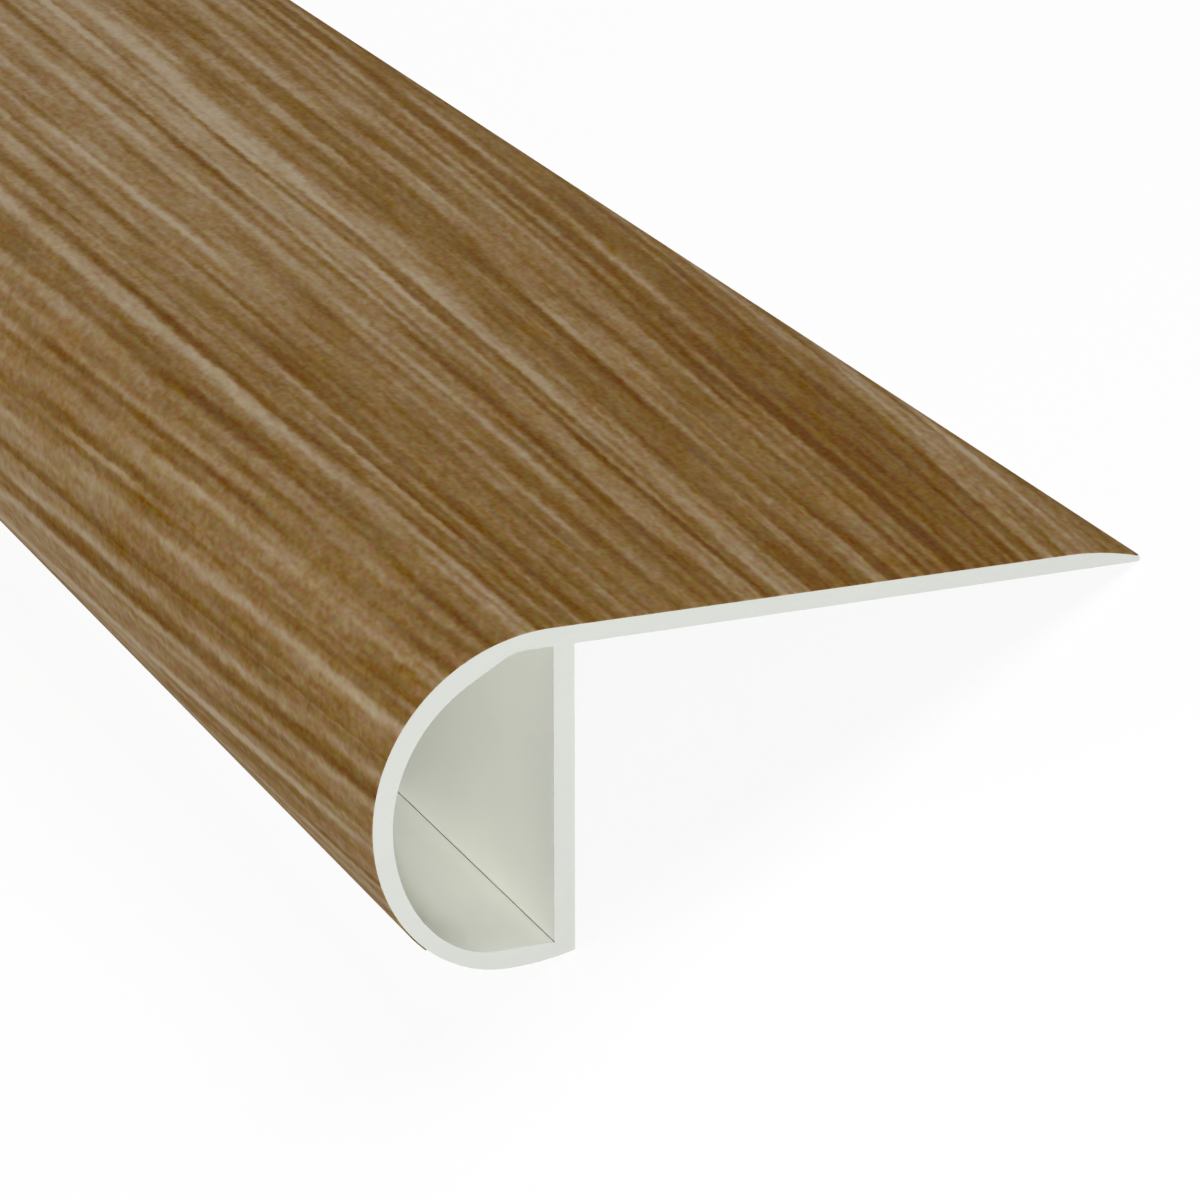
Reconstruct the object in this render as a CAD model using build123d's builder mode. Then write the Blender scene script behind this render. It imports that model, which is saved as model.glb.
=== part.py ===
from build123d import *
import os
from math import acos, asin, atan2, cos, degrees, sin

# Low profile stair nosing, one stick of stock, in millimetres.
# The profile is drawn as it is fitted on a stair: x runs back from the web's back face to the flange's edge,
# and y runs up from the flange's underside. The stick itself lies loose on a floor, where it leans over
# until the web's foot and the flange's edge both touch.

# Stick
LENGTH = 1200.0

# Flange that covers the end of the floor covering
FLANGE_REACH = 52.4  # web's back face to the flange's edge
FLANGE_ROOT = 1.62  # thickness where the flange runs into the nose
FLANGE_END = 1.45  # thickness where the edge starts to round down
EDGE_RUN = 6.8  # width of the rounded-down edge
EDGE_LAND = 0.45  # upright land left at the very edge

# Hollow nose in front of the web
NOSE_DEPTH = 17.95  # web's back face to the front of the nose
FRONT_RADIUS = 15.9  # round from the flange's top down to the front
NOSE_DROP = 28.1  # flange's underside to the lowest line of the nose
TOE_SETBACK = 5.9  # lowest line of the nose, in front of the web's back face
FOOT_RISE = 0.7  # web's foot above the lowest line
FRONT_WALL = 1.78  # at the very front of the nose
SHOULDER_WALL = 2.02  # between the front's round and the round of the hollow, straight above
FLOOR_WALL = 1.7  # at the lowest line of the nose
WEB = 1.87
CEILING_RUN = 3.5  # flat ceiling of the hollow, level with the flange's underside
CEILING_ROUND = 4.0  # from the ceiling into the slope to the front
FLOOR_RUN = 5.1  # flat floor of the hollow
CORNER_RADIUS = 0.2  # on the two corners that the stick rests on

# Printed film that is wrapped round the outside
FILM = 0.12
FILM_SETBACK = 0.2  # film's edge behind the flange's edge
FILM_TURN = 52.0  # degrees that the film goes round the toe, from the front to its end under the nose

# The front of the nose is a quarter circle that meets the flange's top.
# The toe below it is a quarter ellipse.
front_centre = Vector(FRONT_RADIUS - NOSE_DEPTH, FLANGE_ROOT - FRONT_RADIUS)
toe_centre = Vector(-TOE_SETBACK, front_centre.Y)
toe_width = NOSE_DEPTH - TOE_SETBACK
toe_height = NOSE_DROP + front_centre.Y

# The underside is a shallow arc from the lowest line of the nose up to the web's foot.
foot_drop = NOSE_DROP - FOOT_RISE
under_radius = (TOE_SETBACK**2 + FOOT_RISE**2) / (2 * FOOT_RISE)
under_centre = Vector(-TOE_SETBACK, under_radius - NOSE_DROP)

# The hollow has its own round front and toe. A slope tangent to the round leads from it up to the flat ceiling.
hollow_radius = FRONT_RADIUS - SHOULDER_WALL
hollow_front = NOSE_DEPTH - FRONT_WALL
hollow_centre = Vector(hollow_radius - hollow_front, front_centre.Y)
hollow_toe = Vector(-WEB - FLOOR_RUN, front_centre.Y)
floor = FLOOR_WALL - NOSE_DROP
ceiling_end = Vector(-WEB - CEILING_RUN, 0)
to_ceiling = ceiling_end - hollow_centre
slope_angle = degrees(atan2(to_ceiling.Y, to_ceiling.X) + acos(hollow_radius / to_ceiling.length))

# The flange's top thins evenly towards the edge, and an arc tangent to it rounds the edge down to its land.
top_start = Vector(front_centre.X, FLANGE_ROOT)
top_end = Vector(FLANGE_REACH - EDGE_RUN, FLANGE_END)
edge_top = Vector(FLANGE_REACH, EDGE_LAND)
along_top = (top_end - top_start).normalized()
out_of_top = Vector(-along_top.Y, along_top.X)
edge_chord = edge_top - top_end
edge_radius = -edge_chord.dot(edge_chord) / (2 * edge_chord.dot(out_of_top))
edge_centre = top_end - out_of_top * edge_radius
edge_angle = degrees(atan2(edge_top.Y - edge_centre.Y, edge_top.X - edge_centre.X))
top_angle = degrees(atan2(out_of_top.Y, out_of_top.X))


def front_curve(outside, toe_turn):
    """Draw the nose's front at a distance outside the bare plastic, from the flange to a turn round the toe."""
    front = CenterArc(front_centre, FRONT_RADIUS + outside, 90, 90)
    toe = EllipticalCenterArc(toe_centre, toe_width + outside, toe_height + outside, 180, arc_size=toe_turn)
    return front @ 0, toe @ 1


def underside():
    """Draw the nose's underside as far as the web's back face."""
    under = CenterArc(under_centre, under_radius, 270, degrees(asin(TOE_SETBACK / under_radius)))
    return under @ 1


def flange_top(outside, setback, nose):
    """Draw the flange's top at a distance outside the bare plastic, from a setback at its edge to the nose."""
    start = edge_angle + degrees(setback / edge_radius)
    edge = CenterArc(edge_centre, edge_radius + outside, start, top_angle - start)
    Line(edge @ 1, nose)
    return edge @ 0


def profile():
    """Draw the outline of the bare plastic, still without its hollow."""
    with BuildLine() as line:
        nose = front_curve(0, 90)[0]
        foot = underside()
        edge = flange_top(0, 0, nose)
        Polyline(edge, (FLANGE_REACH, 0), (0, 0), foot)
    outline = make_face(line.edges())
    foot_corner = outline.vertices().filter_by_position(Axis.X, 0, 0).sort_by(Axis.Y)[0]
    edge_corner = outline.vertices().group_by(Axis.X)[-1].sort_by(Axis.Y)[0]
    fillet([foot_corner, edge_corner], radius=CORNER_RADIUS)


def hollow():
    """Draw the hollow of the nose, bounded by the wall of the nose and by the web."""
    with BuildLine() as line:
        front = CenterArc(hollow_centre, hollow_radius, slope_angle, 180 - slope_angle)
        toe_reach = hollow_toe.X + hollow_front
        toe = EllipticalCenterArc(hollow_toe, toe_reach, hollow_toe.Y - floor, 180, arc_size=90)
        Polyline(toe @ 1, (-WEB, floor), (-WEB, 0), ceiling_end, front @ 0)
    outline = make_face(line.edges())
    fillet(outline.vertices().sort_by_distance(ceiling_end)[0], radius=CEILING_ROUND)


def film():
    """Draw the film on the outside of the plastic, from near the flange's edge to its end under the nose."""
    with BuildLine() as line:
        nose_inside, end_inside = front_curve(0, FILM_TURN)
        edge_inside = flange_top(0, FILM_SETBACK, nose_inside)
        nose_outside, end_outside = front_curve(FILM, FILM_TURN)
        edge_outside = flange_top(FILM, FILM_SETBACK, nose_outside)
        Line(edge_inside, edge_outside)
        Line(end_inside, end_outside)
    make_face(line.edges())


# At rest the line from the web's foot to the flange's edge lies on the floor.
lean = atan2(foot_drop, FLANGE_REACH)


def leaning_plane(x, z):
    """Give the plane of the stick's far end, turned by the lean, with the flange's inner corner at x, z."""
    return Plane(origin=(x, LENGTH / 2, z), x_dir=(cos(lean), 0, -sin(lean)), z_dir=(0, -1, 0))


# The origin is at the middle of the length and the width, on the floor.
with BuildSketch(leaning_plane(0, 0)) as whole_section:
    profile()
    film()
section_box = whole_section.sketch.bounding_box()
section_plane = leaning_plane(-section_box.center().X, -section_box.min.Z)

# Hollow profile, extruded in one piece
with BuildPart() as extrusion:
    with BuildSketch(section_plane):
        profile()
    extrude(amount=LENGTH)
    with BuildSketch(section_plane):
        hollow()
    extrude(amount=LENGTH, mode=Mode.SUBTRACT)

# Film wrapped round the nose and over the flange
with BuildPart() as wrap:
    with BuildSketch(section_plane):
        film()
    extrude(amount=LENGTH)

os.makedirs("parts", exist_ok=True)
extrusion.part.label = "pvc_extrusion"
export_step(extrusion.part, "parts/pvc_extrusion.step")
wrap.part.label = "decor_film"
export_step(wrap.part, "parts/decor_film.step")
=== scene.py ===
from itertools import pairwise
from math import acos, asin, atan2, ceil, cos, degrees, pi, radians, sin, sqrt, tan

import bmesh
import bpy
from mathutils import Matrix, Vector


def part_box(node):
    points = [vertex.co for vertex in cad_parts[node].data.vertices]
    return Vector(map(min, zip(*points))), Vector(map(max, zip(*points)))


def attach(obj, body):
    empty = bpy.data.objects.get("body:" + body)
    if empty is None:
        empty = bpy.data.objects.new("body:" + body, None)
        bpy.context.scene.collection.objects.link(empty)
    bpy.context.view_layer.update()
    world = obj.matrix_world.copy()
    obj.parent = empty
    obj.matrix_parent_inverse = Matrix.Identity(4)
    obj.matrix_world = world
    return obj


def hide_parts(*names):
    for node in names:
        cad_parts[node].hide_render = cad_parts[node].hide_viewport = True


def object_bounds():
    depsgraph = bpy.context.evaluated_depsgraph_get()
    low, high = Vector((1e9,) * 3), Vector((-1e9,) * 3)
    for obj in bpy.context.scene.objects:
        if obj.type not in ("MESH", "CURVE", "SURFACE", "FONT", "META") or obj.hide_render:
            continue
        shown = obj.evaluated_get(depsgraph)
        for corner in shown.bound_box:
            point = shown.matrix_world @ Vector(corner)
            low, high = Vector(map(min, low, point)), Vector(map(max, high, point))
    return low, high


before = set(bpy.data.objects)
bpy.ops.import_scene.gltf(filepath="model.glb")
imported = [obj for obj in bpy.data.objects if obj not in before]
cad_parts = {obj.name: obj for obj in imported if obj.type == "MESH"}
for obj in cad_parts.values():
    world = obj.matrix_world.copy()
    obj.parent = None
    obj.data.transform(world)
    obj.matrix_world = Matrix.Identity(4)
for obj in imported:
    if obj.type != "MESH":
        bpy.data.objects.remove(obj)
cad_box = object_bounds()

# Low profile stair nosing, one stick of stock. Lengths are in metres unless a comment says millimetres.
# The section is drawn as it is fitted on a stair: x runs back from the web's back face to the flange's edge,
# and y runs up from the flange's underside.

# Section, with the same sizes as the solids
FLANGE_REACH = 0.0524
FLANGE_ROOT = 0.00162
FLANGE_END = 0.00145
EDGE_RUN = 0.0068
EDGE_LAND = 0.00045
NOSE_DEPTH = 0.01795
FRONT_RADIUS = 0.0159
NOSE_DROP = 0.0281
TOE_SETBACK = 0.0059
FOOT_RISE = 0.0007
FRONT_WALL = 0.00178
SHOULDER_WALL = 0.00202
FLOOR_WALL = 0.0017
WEB = 0.00187
CEILING_RUN = 0.0035
CEILING_ROUND = 0.004
FLOOR_RUN = 0.0051
CORNER_RADIUS = 0.0002
FILM = 0.00012
FILM_SETBACK = 0.0002
FILM_TURN = 52.0  # degrees round the toe

# Seam left by the die in the lower corner of the hollow
SEAM_MOUTH = 0.00005
SEAM_DEPTH = 0.00012

# Mesh
ARC_STEP = 2.5  # degrees
RUNS = 12  # equal runs along the stick
SHARP_ANGLE = radians(30)
SIDE, END, SEAM = range(3)  # order of a piece's materials

# Film's texture map, in shares of its width and height: the outside in columns, and then strips for the rest
COLUMNS = 3  # each with as many runs
COLUMNS_WIDTH = 0.96
COLUMN_MARGIN = 0.01  # share of a column
INSIDE_START = 0.965
INSIDE_WIDTH = 0.012
NOSE_EDGE_START = 0.981
FLANGE_EDGE_START = 0.988
ENDS_START = 0.994
STRIP_WIDTH = 0.003  # for an edge or an end
MAP_MARGIN = 0.005

# Places worked out from the sizes, as in the solids
front_centre = Vector((FRONT_RADIUS - NOSE_DEPTH, FLANGE_ROOT - FRONT_RADIUS))
toe_centre = Vector((-TOE_SETBACK, front_centre.y))
toe_width = NOSE_DEPTH - TOE_SETBACK
toe_height = NOSE_DROP + front_centre.y
foot_drop = NOSE_DROP - FOOT_RISE
under_radius = (TOE_SETBACK**2 + FOOT_RISE**2) / (2 * FOOT_RISE)
under_centre = Vector((-TOE_SETBACK, under_radius - NOSE_DROP))
hollow_radius = FRONT_RADIUS - SHOULDER_WALL
hollow_front = NOSE_DEPTH - FRONT_WALL
hollow_centre = Vector((hollow_radius - hollow_front, front_centre.y))
hollow_toe = Vector((-WEB - FLOOR_RUN, front_centre.y))
hollow_floor = FLOOR_WALL - NOSE_DROP
hollow_corner = Vector((-WEB, hollow_floor))
ceiling_end = Vector((-WEB - CEILING_RUN, 0))
to_ceiling = ceiling_end - hollow_centre
slope_angle = degrees(atan2(to_ceiling.y, to_ceiling.x) + acos(hollow_radius / to_ceiling.length))
top_start = Vector((front_centre.x, FLANGE_ROOT))
top_end = Vector((FLANGE_REACH - EDGE_RUN, FLANGE_END))
edge_top = Vector((FLANGE_REACH, EDGE_LAND))
along_top = (top_end - top_start).normalized()
out_of_top = Vector((-along_top.y, along_top.x))
edge_chord = edge_top - top_end
edge_radius = -edge_chord.dot(edge_chord) / (2 * edge_chord.dot(out_of_top))
edge_centre = top_end - out_of_top * edge_radius
edge_angle = degrees(atan2(edge_top.y - edge_centre.y, edge_top.x - edge_centre.x))
top_angle = degrees(atan2(out_of_top.y, out_of_top.x))


def arc(centre, width, height, start, turn):
    """Give the points of an arc of a circle or an ellipse, both ends among them, with angles in degrees."""
    count = max(2, ceil(abs(turn) / ARC_STEP))
    angles = [radians(start + turn * i / count) for i in range(count + 1)]
    return [centre + Vector((width * cos(a), height * sin(a))) for a in angles]


def flange_top(outside, setback):
    """Give the flange's rounded edge at a distance outside the plastic, from a setback to the flat top."""
    radius = edge_radius + outside
    start = edge_angle + degrees(setback / edge_radius)
    return arc(edge_centre, radius, radius, start, top_angle - start)


def nose_front(outside, toe_turn):
    """Give the nose's front at a distance outside the plastic, from the flange to a turn round the toe."""
    radius = FRONT_RADIUS + outside
    front = arc(front_centre, radius, radius, 90, 90)
    toe = arc(toe_centre, toe_width + outside, toe_height + outside, 180, toe_turn)
    return front + toe[1:]


def underside():
    """Give the nose's underside, from its lowest line to the web's foot."""
    return arc(under_centre, under_radius, under_radius, 270, degrees(asin(TOE_SETBACK / under_radius)))


def rounded(before, corner, after, radius):
    """Give a corner's points with the corner rounded off."""
    inward = (before - corner).normalized()
    outward = (after - corner).normalized()
    half_angle = inward.angle(outward) / 2
    middle = (inward + outward).normalized()
    centre = corner + middle * radius / sin(half_angle)
    setback = radius / tan(half_angle)
    first = corner + inward * setback - centre
    last = corner + outward * setback - centre
    turn = -degrees(first.angle_signed(last))
    start = degrees(atan2(first.y, first.x))
    return arc(centre, radius, radius, start, turn)


def plastic_outline():
    """Give the outline of the bare plastic, from the top of the flange's edge round the nose and back."""
    below = underside()
    inner_corner = Vector((0, 0))
    edge_corner = Vector((FLANGE_REACH, 0))
    foot = rounded(below[-2], below[-1], inner_corner, CORNER_RADIUS)
    edge = rounded(inner_corner, edge_corner, edge_top, CORNER_RADIUS)
    return flange_top(0, 0) + nose_front(0, 90) + below[1:-1] + foot + [inner_corner] + edge


def hollow_outline():
    """Give the outline of the hollow in the nose, with the die's seam in its lower corner."""
    front = arc(hollow_centre, hollow_radius, hollow_radius, slope_angle, 180 - slope_angle)
    toe = arc(hollow_toe, hollow_toe.x + hollow_front, hollow_toe.y - hollow_floor, 180, 90)
    seam = [
        hollow_corner + Vector((-SEAM_MOUTH, 0)),
        hollow_corner + Vector((SEAM_DEPTH, -SEAM_DEPTH)) / sqrt(2),
        hollow_corner + Vector((0, SEAM_MOUTH)),
    ]
    ceiling_start = Vector((-WEB, 0))
    ceiling = rounded(ceiling_start, ceiling_end, front[0], CEILING_ROUND)
    return front + toe[1:] + seam + [ceiling_start] + ceiling


def film_side(outside):
    """Give one side of the film, from the flange's edge to the film's end under the nose."""
    return flange_top(outside, FILM_SETBACK) + nose_front(outside, FILM_TURN)


# The stick leans until the web's foot and the flange's edge both touch the floor.
lean = atan2(foot_drop, FLANGE_REACH)
section_x = Vector((cos(lean), -sin(lean)))
section_y = Vector((sin(lean), cos(lean)))


def leaned(points):
    """Turn section points by the lean, into x and z."""
    return [section_x * p.x + section_y * p.y for p in points]


cad_low = cad_box[0]
plastic_low, plastic_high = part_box("pvc_extrusion")
near_end, far_end = plastic_low[1], plastic_high[1]
everything = leaned(plastic_outline() + film_side(FILM))
corner_x = cad_low[0] - min(p.x for p in everything)
corner_z = cad_low[2] - min(p.y for p in everything)
inner_corner_place = Vector((corner_x, near_end, corner_z))


def placed(points):
    """Move section points to where the stick lies, as x and z in the frame."""
    return [p + Vector((corner_x, corner_z)) for p in leaned(points)]


stations = [near_end + (far_end - near_end) * i / RUNS for i in range(RUNS + 1)]


def extruded(name, outlines, side_material, end_material, across=None):
    """Make a closed piece from section outlines that run along the whole stick."""
    mesh_data = bmesh.new()
    across_layer = mesh_data.verts.layers.float.new("across") if across else None
    end_edges = ([], [])
    for outline in outlines:
        rings = [[mesh_data.verts.new((p.x, y, p.y)) for p in placed(outline)] for y in stations]
        if across:
            for ring in rings:
                for vertex, distance in zip(ring, across):
                    vertex[across_layer] = distance
        for near, far in pairwise(rings):
            for i in range(len(outline)):
                face = mesh_data.faces.new((near[i - 1], near[i], far[i], far[i - 1]))
                face.smooth = True
        for edges, ring in zip(end_edges, (rings[0], rings[-1])):
            edges.extend(mesh_data.edges.get((ring[i - 1], ring[i])) for i in range(len(ring)))
    for edges in end_edges:
        filled = bmesh.ops.triangle_fill(mesh_data, edges=edges, use_beauty=True)
        for face in filled["geom"]:
            if isinstance(face, bmesh.types.BMFace):
                face.material_index = END
    bmesh.ops.recalc_face_normals(mesh_data, faces=mesh_data.faces)
    mesh = bpy.data.meshes.new(name)
    mesh_data.to_mesh(mesh)
    mesh_data.free()
    mesh.set_sharp_from_angle(angle=SHARP_ANGLE)
    mesh.materials.append(side_material)
    mesh.materials.append(end_material)
    piece = bpy.data.objects.new(name, mesh)
    bpy.context.scene.collection.objects.link(piece)
    return piece


def paint_seam_shade(piece, material):
    """Give the die's seam its own darker material, painted shade for the crease in the hollow's corner, and
    flat shading, which leaves the shading of the web alone.
    """
    seam_place = placed([hollow_corner])[0]
    piece.data.materials.append(material)
    for face in piece.data.polygons:
        off_seam = Vector((face.center.x, face.center.z)) - seam_place
        if face.material_index == SIDE and off_seam.length < SEAM_DEPTH:
            face.material_index = SEAM
            face.use_smooth = False


def lay_out(piece, across):
    """Map the film: its outside in columns, and in strips beside them its inside, its edges and its ends."""
    mesh = piece.data
    ring_size = len(across)
    side_size = ring_size // 2
    column_runs = RUNS // COLUMNS
    places = mesh.uv_layers.new(name="OFBake").data
    for face in mesh.polygons:
        corners = [divmod(vertex, ring_size) for vertex in face.vertices]
        first_run = min(ring for ring, _ in corners)
        at_end = len({ring for ring, _ in corners}) == 1
        outer = {i < side_size for _, i in corners}
        at_nose = any(i == side_size for _, i in corners)
        column = first_run // column_runs
        for loop, (ring, i) in zip(face.loop_indices, corners):
            share = across[i] / across[side_size - 1]
            inner = i >= side_size
            if at_end:
                u = ENDS_START + STRIP_WIDTH * inner
                v = 0.5 * (ring > 0) + MAP_MARGIN + (0.5 - 2 * MAP_MARGIN) * share
            elif outer == {True}:
                u = COLUMNS_WIDTH * (column + COLUMN_MARGIN + (1 - 2 * COLUMN_MARGIN) * share) / COLUMNS
                v = (ring - column * column_runs) / column_runs
            elif outer == {False}:
                u = INSIDE_START + INSIDE_WIDTH * share
                v = ring / RUNS
            else:
                u = (NOSE_EDGE_START if at_nose else FLANGE_EDGE_START) + STRIP_WIDTH * inner
                v = ring / RUNS
            places[loop].uv = (u, MAP_MARGIN + (1 - 2 * MAP_MARGIN) * v)


# Looks
MILLIMETRES = 1000.0  # in a metre
WHITE = (1.0, 1.0, 1.0, 1.0)

# Film print: tones from dark to pale, as a screen shows them
FILM_TONES = [
    (0.0, (98, 62, 20)),
    (0.12, (107, 72, 27)),
    (0.25, (113, 81, 35)),
    (0.37, (120, 91, 45)),
    (0.5, (132, 102, 62)),
    (0.63, (141, 115, 79)),
    (0.75, (150, 127, 95)),
    (0.88, (158, 138, 109)),
    (1.0, (166, 148, 122)),
]
FILM_STREAKS = 0.4  # how much the saturation varies
FILM_MOTTLE = 0.08  # how much the hue varies
FILM_SPECULAR = 0.01
FILM_ROUGHNESS = 0.5
PORE_ROUGHNESS = 0.2  # that the pores add at most
PORE_STRENGTH = 0.25
PORE_DEPTH = 0.00004  # metres

# Noise of the film: width and length of its marks in millimetres, and seed
WANDER_NOISE = (12, 70, 3.1)
RAGGED_NOISE = (0.7, 1.9, 7.7)
STREAK_NOISE = (0.4, 8, 83.2)
MOTTLE_NOISE = (0.35, 0.6, 87.5)
PORE_NOISE = (0.35, 5, 91.7)

# Grain, in millimetres. It keeps its place at the middle, which is measured from the flange's edge,
# and spreads from there.
GRAIN_MIDDLE = 54.0
GRAIN_SPREAD = 0.45
GRAIN_SPREAD_LENGTH = 1275.0
GRAIN_WANDER = 0.8
GRAIN_RAGGED = 0.45
GRAIN_TONE = 0.52
# Slow swing of the whole film's tone along the stick, and its length
FILM_TONE_SWELL = 0.1
FILM_TONE_SWELL_LENGTH = 400.0

# Main bands: place from the middle, half width, and tone
GRAIN_BANDS = [
    (-47, 1.2, 0.2),
    (-43.2, 1.2, -0.12),
    (-37.5, 5.5, -0.28),
    (-33, 1.2, 0.12),
    (-27, 4.5, -0.12),
    (-21.2, 1.5, 0.3),
    (-19, 0.9, -0.1),
    (-17, 1.6, 0.22),
    (-12.5, 3.0, 0.1),
    (-7.5, 3.5, 0.1),
    (-3, 1.6, -0.1),
    (2.8, 1.4, 0.17),
    (7, 1.1, 0.14),
    (9.5, 1.3, -0.14),
    (17, 1.6, 0.1),
    (21.2, 1.0, -0.2),
    (23.2, 1.2, 0.24),
    (28, 16.0, 0.14),
]

# Lines fade by noise: they are gone where it is below the first level and full where it is above the second.
LINE_FADED = 0.35
LINE_FULL = 0.62
LINES_APART = 5.0  # in the noise, so that neighbours fade on their own

# Lines: mean spacing, half width, length before they fade, tone, and seed
GRAIN_LINES = [
    (4.8, 0.8, 90.0, 0.34, 23.9),
    (2.2, 0.6, 34.0, 0.24, 31.7),
    (3.2, 0.75, 60.0, -0.27, 57.1),
    (1.9, 0.6, 24.0, -0.22, 63.4),
]

# Layers of marks: width, length, slant, amount, and seed
GRAIN_LAYERS = [
    (1.6, 600.0, 0.0, 0.16, 29.3),
    (1.05, 45.0, 0.0, 0.32, 37.2),
    (0.95, 14.0, 0.01, 0.29, 41.8),
    (0.6, 2.6, 0.1, 0.25, 47.1),
    (0.45, 1.0, 0.2, 0.21, 53.4),
]

# Plastic: one off-white PVC in three tones. The die's skin is the plastic's off-white painted lighter, as
# painted light that lifts the shaded hollow; the seam is painted shade for the dark crease in the hollow's
# corner; and the saw's cut ends are painted darker, as painted shade against the strong front light.
PLASTIC_CLOUD_SCALE = 120.0
PLASTIC_CLOUD_DETAIL = 3.0
PLASTIC_CLOUD_SHARE = 0.6  # of the tone, the rest is the marks
PLASTIC_SPECULAR = 0.3
PLASTIC_ROUGHNESS = 0.45
DIE_MARKS = (0.5, 150.0, 9.1)  # width and length in millimetres, and seed
SAW_MARKS = (0.25, 12.0, 5.3)
MARKS_DETAIL = 2.0
MARKS_ROUGHNESS = 0.2  # that the marks add at most
MARKS_STRENGTH = 0.3
MARKS_DEPTH = 0.00002  # metres
# Skin: the plastic's off-white with painted light, lighter than the cut, so that the shaded hollow reads
# bright
SKIN_TONES_WITH_PAINTED_LIGHT = [(0.3, (244, 245, 237)), (0.7, (248, 249, 241))]
# Seam: painted shade, a dark line in the crease at the hollow's lower corner
SEAM_PAINTED_SHADE_TONES = [(0.3, (146, 139, 124)), (0.7, (152, 145, 130))]
# Cut ends: the same plastic with painted shade, darker than the skin, against the strong front light
CUT_TONES_WITH_PAINTED_SHADE = [(0.3, (196, 199, 193)), (0.7, (200, 203, 197))]


def linear(red, green, blue):
    """Turn a colour as a screen shows it, 0 to 255, into the linear colour that a shader takes."""
    def channel(value):
        share = value / 255
        return share / 12.92 if share <= 0.04045 else ((share + 0.055) / 1.055) ** 2.4
    return (channel(red), channel(green), channel(blue), 1.0)


def node(tree, kind, inputs=None, **settings):
    """Add a node, with its settings and its inputs, which are values or other nodes' outputs."""
    made = tree.nodes.new(kind)
    for name, value in settings.items():
        setattr(made, name, value)
    for name, value in (inputs or {}).items():
        if isinstance(value, bpy.types.NodeSocket):
            tree.links.new(value, made.inputs[name])
        else:
            made.inputs[name].default_value = value
    return made


def maths(tree, operation, first, second=0.0, third=0.0):
    """Add a step of arithmetic and give its result."""
    made = node(tree, "ShaderNodeMath", {0: first, 1: second, 2: third}, operation=operation)
    return made.outputs[0]


def new_material(name):
    """Make a material with nothing but its output, and give its node tree and its output too."""
    material = bpy.data.materials.new(name)
    material.use_nodes = True
    tree = material.node_tree
    tree.nodes.clear()
    output = tree.nodes.new("ShaderNodeOutputMaterial")
    return material, tree, output


def stretched_noise(tree, across, along, width, length, seed, detail=0.0):
    """Give noise whose marks are about so wide and so long, from places in millimetres."""
    place = node(tree, "ShaderNodeCombineXYZ", {
        "X": maths(tree, "DIVIDE", across, width),
        "Y": maths(tree, "DIVIDE", along, length),
        "Z": seed,
    })
    noise = node(tree, "ShaderNodeTexNoise", {
        "Vector": place.outputs[0],
        "Scale": 1.0,
        "Detail": detail,
    })
    return noise.outputs["Fac"]


def centred(tree, value, amount):
    """Turn noise about a half into an offset about nought."""
    return maths(tree, "MULTIPLY_ADD", value, amount, -amount / 2)


def stepped(tree, value, low, high):
    """Give a smooth step from nought at one value to one at another."""
    ramp = node(tree, "ShaderNodeMapRange", {
        "Value": value,
        "From Min": low,
        "From Max": high,
        "To Min": 0.0,
        "To Max": 1.0,
    }, interpolation_type="SMOOTHSTEP")
    return ramp.outputs[0]


def ridge(tree, value, middle, half_width):
    """Give a smooth ridge that is one where a value is at its middle and nought half its width away."""
    off_middle = maths(tree, "ABSOLUTE", maths(tree, "SUBTRACT", value, middle))
    return stepped(tree, off_middle, half_width, 0.0)


def fading_lines(tree, across, along, spacing, half_width, length, seed):
    """Give thin lines at uneven places across the grain, each of which fades in and out along the stick."""
    nearest = node(tree, "ShaderNodeTexVoronoi", {
        "W": maths(tree, "MULTIPLY_ADD", across, 1 / spacing, seed),
        "Scale": 1.0,
        "Randomness": 1.0,
    }, voronoi_dimensions="1D", feature="F1")
    line = stepped(tree, nearest.outputs["Distance"], half_width / spacing, 0.0)
    own_place = maths(tree, "MULTIPLY", nearest.outputs["W"], LINES_APART)
    fade = stepped(tree, stretched_noise(tree, own_place, along, 1.0, length, seed), LINE_FADED, LINE_FULL)
    return maths(tree, "MULTIPLY", line, fade)


def added(tree, values):
    """Give the sum of some values."""
    total = values[0]
    for value in values[1:]:
        total = maths(tree, "ADD", total, value)
    return total


def colour_ramp(tree, value, tones):
    """Turn a value into a colour between tones, which are positions with colours as a screen shows them."""
    ramp = node(tree, "ShaderNodeValToRGB", {"Fac": value})
    stops = ramp.color_ramp.elements
    while len(stops) < len(tones):
        stops.new(1.0)
    for stop, (position, colour) in zip(stops, tones):
        stop.position = position
        stop.color = linear(*colour)
    return ramp.outputs["Color"]


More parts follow.
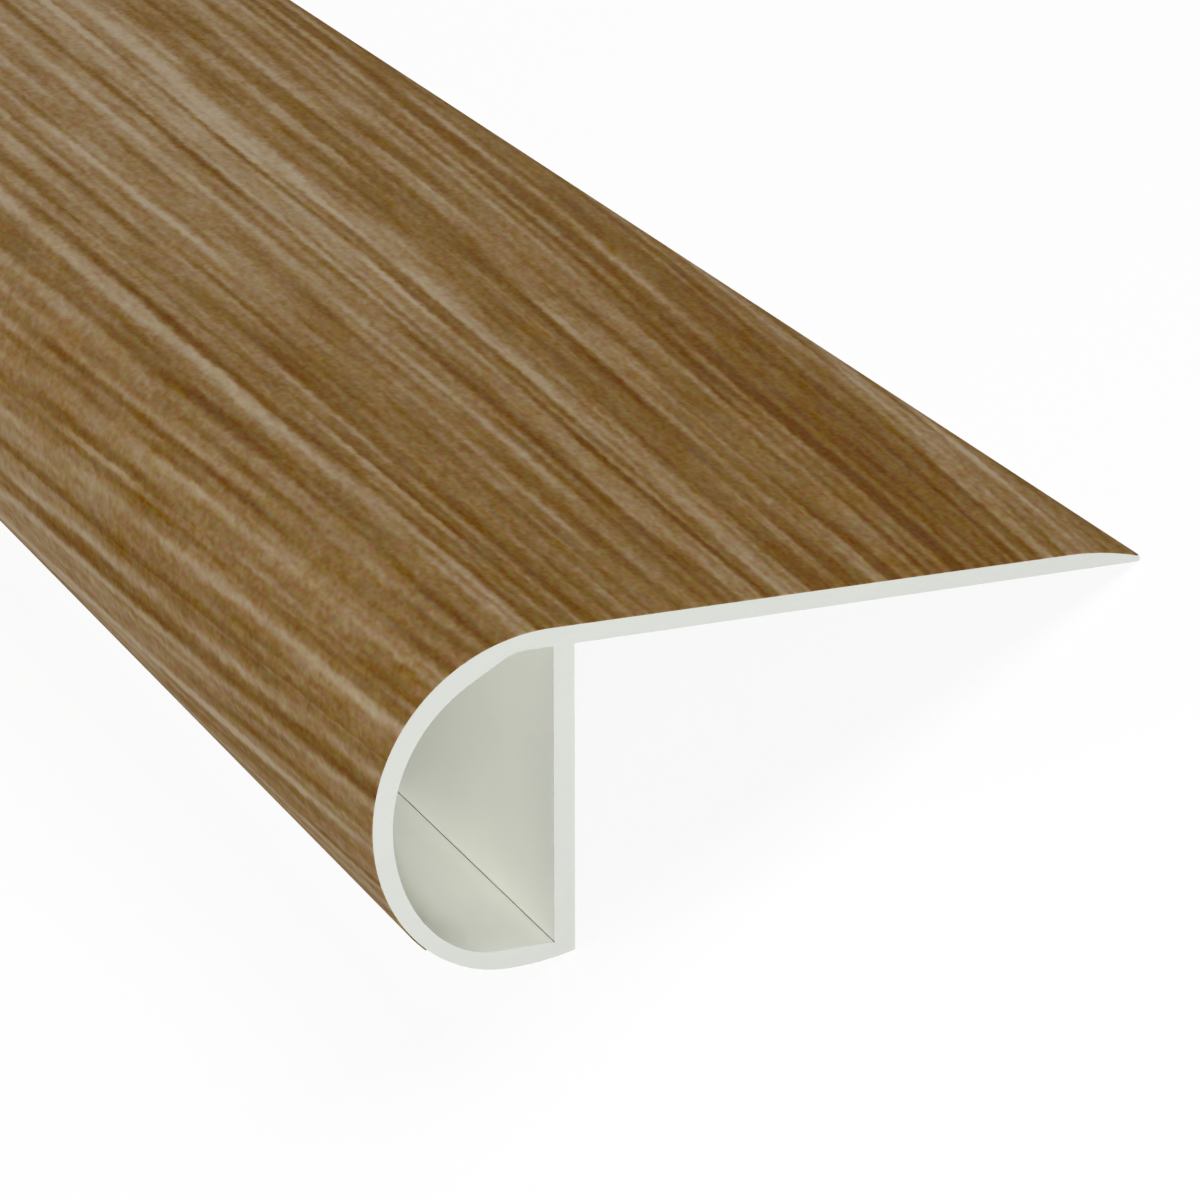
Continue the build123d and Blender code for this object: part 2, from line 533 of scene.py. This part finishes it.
def wood_film():
    """Printed film: brown grain that runs along the stick, finely embossed, with a dull satin finish."""
    material, tree, output = new_material("wood_print_film")
    distance = node(tree, "ShaderNodeAttribute", attribute_name="across")
    across = maths(tree, "MULTIPLY", distance.outputs["Fac"], MILLIMETRES)
    place = node(tree, "ShaderNodeTexCoord")
    y = node(tree, "ShaderNodeSeparateXYZ", {0: place.outputs["Object"]}).outputs["Y"]
    along = maths(tree, "MULTIPLY_ADD", y, MILLIMETRES, -MILLIMETRES * near_end)

    # The grain spreads and closes up slowly along the stick, and wanders a little.
    swing = maths(tree, "SINE", maths(tree, "MULTIPLY", along, 2 * pi / GRAIN_SPREAD_LENGTH))
    spread = maths(tree, "MULTIPLY_ADD", swing, GRAIN_SPREAD, 1.0)
    straight = maths(tree, "DIVIDE", maths(tree, "SUBTRACT", across, GRAIN_MIDDLE), spread)
    wander = centred(tree, stretched_noise(tree, straight, along, *WANDER_NOISE), GRAIN_WANDER)
    ragged = centred(tree, stretched_noise(tree, straight, along, *RAGGED_NOISE, detail=1.0), GRAIN_RAGGED)
    grain = added(tree, [straight, wander, ragged])

    # Tone: main bands, pale and dark lines that fade in and out, streaks, and slanting flecks
    layers = []
    for middle, half_width, tone in GRAIN_BANDS:
        layers.append(maths(tree, "MULTIPLY", ridge(tree, grain, middle, half_width), tone))
    for spacing, half_width, length, tone, seed in GRAIN_LINES:
        lines = fading_lines(tree, grain, along, spacing, half_width, length, seed)
        layers.append(maths(tree, "MULTIPLY", lines, tone))
    for width, length, slant, amount, seed in GRAIN_LAYERS:
        slanted = maths(tree, "MULTIPLY_ADD", along, slant, grain)
        layers.append(centred(tree, stretched_noise(tree, slanted, along, width, length, seed), amount))

    # The whole film's tone darkens and lightens slowly along the stick, darkest at the near end and again
    # every swell length.
    swell = maths(tree, "COSINE", maths(tree, "MULTIPLY", along, 2 * pi / FILM_TONE_SWELL_LENGTH))
    layers.append(maths(tree, "MULTIPLY_ADD", swell, -FILM_TONE_SWELL, GRAIN_TONE))
    colour = colour_ramp(tree, added(tree, layers), FILM_TONES)

    # Streaks of stronger colour, and the print's own fine mottle
    stronger = stretched_noise(tree, grain, along, *STREAK_NOISE, detail=1.0)
    mottle = stretched_noise(tree, across, along, *MOTTLE_NOISE)
    tinted = node(tree, "ShaderNodeHueSaturation", {
        "Hue": maths(tree, "ADD", centred(tree, mottle, FILM_MOTTLE), 0.5),
        "Saturation": maths(tree, "ADD", centred(tree, stronger, FILM_STREAKS), 1.0),
        "Color": colour,
    })

    # Pores are pressed into the film along the streaks.
    pores = stretched_noise(tree, grain, along, *PORE_NOISE, detail=1.0)
    bump = node(tree, "ShaderNodeBump", {
        "Strength": PORE_STRENGTH,
        "Distance": PORE_DEPTH,
        "Height": pores,
    })
    roughness = maths(tree, "MULTIPLY_ADD", pores, PORE_ROUGHNESS, FILM_ROUGHNESS)
    shader = node(tree, "ShaderNodeBsdfPrincipled", {
        "Base Color": tinted.outputs["Color"],
        "Roughness": roughness,
        "Specular IOR Level": FILM_SPECULAR,
        "Normal": bump.outputs["Normal"],
    })
    tree.links.new(shader.outputs[0], output.inputs["Surface"])
    return material


def plastic(name, tones, width, length, seed, sawn):
    """Off-white rigid PVC with fine marks, along the stick from the die or across a cut end from the saw."""
    material, tree, output = new_material(name)
    place = node(tree, "ShaderNodeTexCoord")
    xyz = node(tree, "ShaderNodeSeparateXYZ", {0: place.outputs["Object"]})
    x = maths(tree, "MULTIPLY", xyz.outputs["X"], MILLIMETRES)
    y = maths(tree, "MULTIPLY", xyz.outputs["Y"], MILLIMETRES)
    z = maths(tree, "MULTIPLY", xyz.outputs["Z"], MILLIMETRES)
    cloud = node(tree, "ShaderNodeTexNoise", {
        "Vector": place.outputs["Object"],
        "Scale": PLASTIC_CLOUD_SCALE,
        "Detail": PLASTIC_CLOUD_DETAIL,
    }).outputs["Fac"]
    if sawn:
        marks = stretched_noise(tree, x, z, length, width, seed, MARKS_DETAIL)
    else:
        marks = stretched_noise(tree, maths(tree, "ADD", x, z), y, width, length, seed, MARKS_DETAIL)
    mixed = added(tree, [
        maths(tree, "MULTIPLY", cloud, PLASTIC_CLOUD_SHARE),
        maths(tree, "MULTIPLY", marks, 1 - PLASTIC_CLOUD_SHARE),
    ])
    colour = colour_ramp(tree, mixed, tones)
    bump = node(tree, "ShaderNodeBump", {
        "Strength": MARKS_STRENGTH,
        "Distance": MARKS_DEPTH,
        "Height": marks,
    })
    roughness = maths(tree, "MULTIPLY_ADD", marks, MARKS_ROUGHNESS, PLASTIC_ROUGHNESS)
    shader = node(tree, "ShaderNodeBsdfPrincipled", {
        "Base Color": colour,
        "Roughness": roughness,
        "Specular IOR Level": PLASTIC_SPECULAR,
        "Normal": bump.outputs["Normal"],
    })
    tree.links.new(shader.outputs[0], output.inputs["Surface"])
    return material


# Pieces
outside_film = film_side(FILM)
inside_film = film_side(0)


def distances(points):
    """Give each point's distance from the first along the points."""
    total = [0.0]
    for first, second in pairwise(points):
        total.append(total[-1] + (second - first).length)
    return total


across_outside = distances(outside_film)
across_film = across_outside + list(reversed(across_outside))

film_material = wood_film()
# One plastic in three tones: painted light on the skin, painted shade on the seam and on the cut ends
painted_light_skin_material = plastic("pvc_extruded_painted_light", SKIN_TONES_WITH_PAINTED_LIGHT, *DIE_MARKS, sawn=False)
painted_shade_seam_material = plastic("pvc_seam_painted_shade", SEAM_PAINTED_SHADE_TONES, *DIE_MARKS, sawn=False)
painted_shade_cut_material = plastic("pvc_sawn_painted_shade", CUT_TONES_WITH_PAINTED_SHADE, *SAW_MARKS, sawn=True)

nosing = extruded("nosing_profile", [plastic_outline(), hollow_outline()], painted_light_skin_material, painted_shade_cut_material)
paint_seam_shade(nosing, painted_shade_seam_material)
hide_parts("pvc_extrusion")
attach(nosing, "root")

wrap = extruded(
    "wood_film_wrap",
    [outside_film + list(reversed(inside_film))],
    film_material,
    film_material,
    across_film,
)
lay_out(wrap, across_film)
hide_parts("decor_film")
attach(wrap, "root")

# Floor
FLOOR_SIZE = 12.0
FLOOR_CLOUD_SCALE = 3.0
FLOOR_CLOUD_DETAIL = 2.0
FLOOR_WHITE = 0.88  # share of plain white that the camera sees, the rest is lit and takes the shadow
FLOOR_WHITES = [(0.3, (246, 246, 246)), (0.7, (248, 248, 248))]  # as the camera sees it
FLOOR_GREYS = [(0.3, (177, 177, 177)), (0.7, (180, 180, 180))]  # as it lights the stick


def seen_directly(tree):
    """Give 1 for rays from the camera, and for what gloss or glass shows of the background."""
    path = node(tree, "ShaderNodeLightPath")
    first = maths(tree, "MAXIMUM", path.outputs["Is Camera Ray"], path.outputs["Is Glossy Ray"])
    return maths(tree, "MAXIMUM", first, path.outputs["Is Transmission Ray"])


def floor_material():
    """Floor that the camera sees as nearly plain white, and that throws less light on the stick."""
    material, tree, output = new_material("pale_floor")
    place = node(tree, "ShaderNodeTexCoord")
    cloud = node(tree, "ShaderNodeTexNoise", {
        "Vector": place.outputs["Object"],
        "Scale": FLOOR_CLOUD_SCALE,
        "Detail": FLOOR_CLOUD_DETAIL,
    })
    seen = seen_directly(tree)
    colour = node(tree, "ShaderNodeMix", {
        "Factor": seen,
        "A": colour_ramp(tree, cloud.outputs["Fac"], FLOOR_GREYS),
        "B": colour_ramp(tree, cloud.outputs["Fac"], FLOOR_WHITES),
    }, data_type="RGBA")
    lit = node(tree, "ShaderNodeBsdfDiffuse", {"Color": colour.outputs["Result"]})
    white = node(tree, "ShaderNodeEmission", {"Color": WHITE, "Strength": 1.0})
    share = maths(tree, "MULTIPLY", seen, FLOOR_WHITE)
    mixed = node(tree, "ShaderNodeMixShader", {0: share, 1: lit.outputs[0], 2: white.outputs[0]})
    tree.links.new(mixed.outputs[0], output.inputs["Surface"])
    return material


floor_mesh = bpy.data.meshes.new("floor")
half = FLOOR_SIZE / 2
floor_corners = [(-half, -half), (half, -half), (half, half), (-half, half)]
floor_mesh.from_pydata([(x, y, cad_low[2]) for x, y in floor_corners], [], [(0, 1, 2, 3)])
floor_mesh.materials.append(floor_material())
floor = bpy.data.objects.new("floor", floor_mesh)
bpy.context.scene.collection.objects.link(floor)

# Camera, level on the stick as it is fitted, so it leans with the stick
LENS = 171.87
SENSOR = 36.0
CLIP_START = 0.01
IMAGE = 1200.0
CAMERA_YAW = radians(22.795)  # from the stick's length towards the flange
CAMERA_PITCH = radians(19.866)  # down
CORNER_DEPTH = 0.4714  # from the camera to the flange's inner corner at the near end, along its view
CORNER_PIXEL = (574.55, 643.2)

length_axis = Vector((0, 1, 0))
reach_axis = Vector((section_x.x, 0, section_x.y))
up_axis = Vector((section_y.x, 0, section_y.y))
level = length_axis * cos(CAMERA_YAW) + reach_axis * sin(CAMERA_YAW)
view = level * cos(CAMERA_PITCH) - up_axis * sin(CAMERA_PITCH)
right = reach_axis * cos(CAMERA_YAW) - length_axis * sin(CAMERA_YAW)
above = right.cross(view)
focal_pixels = LENS / SENSOR * IMAGE
to_corner = (
    view
    + right * (CORNER_PIXEL[0] - IMAGE / 2) / focal_pixels
    - above * (CORNER_PIXEL[1] - IMAGE / 2) / focal_pixels
) * CORNER_DEPTH
camera_place = inner_corner_place - to_corner
camera_data = bpy.data.cameras.new("camera")
camera_data.lens = LENS
camera_data.sensor_fit = "HORIZONTAL"
camera_data.sensor_width = SENSOR
camera_data.clip_start = CLIP_START
camera = bpy.data.objects.new("camera", camera_data)
camera.matrix_world = Matrix.Translation(camera_place) @ Matrix((right, above, -view)).transposed().to_4x4()
bpy.context.scene.collection.objects.link(camera)
bpy.context.scene.camera = camera

# Light: each lamp's level is what a white surface that faces it returns,
# so the levels on a surface add up to its look.
WORLD_LIGHT = 0.06
LIT_PLACE = 0.06  # from the near end to a place well in the photo
FRONT_LEVEL = 0.97
LEFT_LEVEL = 0.48
TOP_LEVEL = 0.73
BACK_LEVEL = 0.7


def softbox(name, shown, towards, distance, size, level):
    """Add a round softbox that faces a place on the stick, from a direction."""
    light = bpy.data.lights.new(name, "AREA")
    light.shape = "DISK"
    light.size = size
    light.energy = level * pi**2 * distance**2
    lamp = bpy.data.objects.new(name, light)
    direction = towards.normalized()
    lamp.location = shown + direction * distance
    lamp.rotation_euler = (-direction).to_track_quat("-Z", "Y").to_euler()
    bpy.context.scene.collection.objects.link(lamp)


in_photo = inner_corner_place + length_axis * LIT_PLACE
far_corner_place = inner_corner_place + length_axis * (far_end - near_end)
from_front = -length_axis * 0.925 - reach_axis * 0.29 + up_axis * 0.245
from_left = Vector((-0.95, 0.3, 0.12))
from_top = Vector((0.5, 0.15, 0.85))
from_back = Vector((0.1, 0.98, 0.15))
softbox("front_light", in_photo, from_front, distance=1.5, size=0.15, level=FRONT_LEVEL)
softbox("left_light", in_photo, from_left, distance=1.8, size=0.3, level=LEFT_LEVEL)
softbox("top_light", in_photo, from_top, distance=2.2, size=2.0, level=TOP_LEVEL)
softbox("back_light", far_corner_place, from_back, distance=0.8, size=0.2, level=BACK_LEVEL)

# World: plain white where it is seen directly, and a weak light on the stick
world = bpy.data.worlds.new("studio")
bpy.context.scene.world = world
world.use_nodes = True
sky = world.node_tree
sky.nodes.clear()
sky_output = sky.nodes.new("ShaderNodeOutputWorld")
strength = node(sky, "ShaderNodeMapRange", {
    "Value": seen_directly(sky),
    "To Min": WORLD_LIGHT,
    "To Max": 1.0,
})
background = node(sky, "ShaderNodeBackground", {"Color": WHITE, "Strength": strength.outputs[0]})
sky.links.new(background.outputs[0], sky_output.inputs["Surface"])

bpy.context.scene.view_settings.view_transform = "Standard"
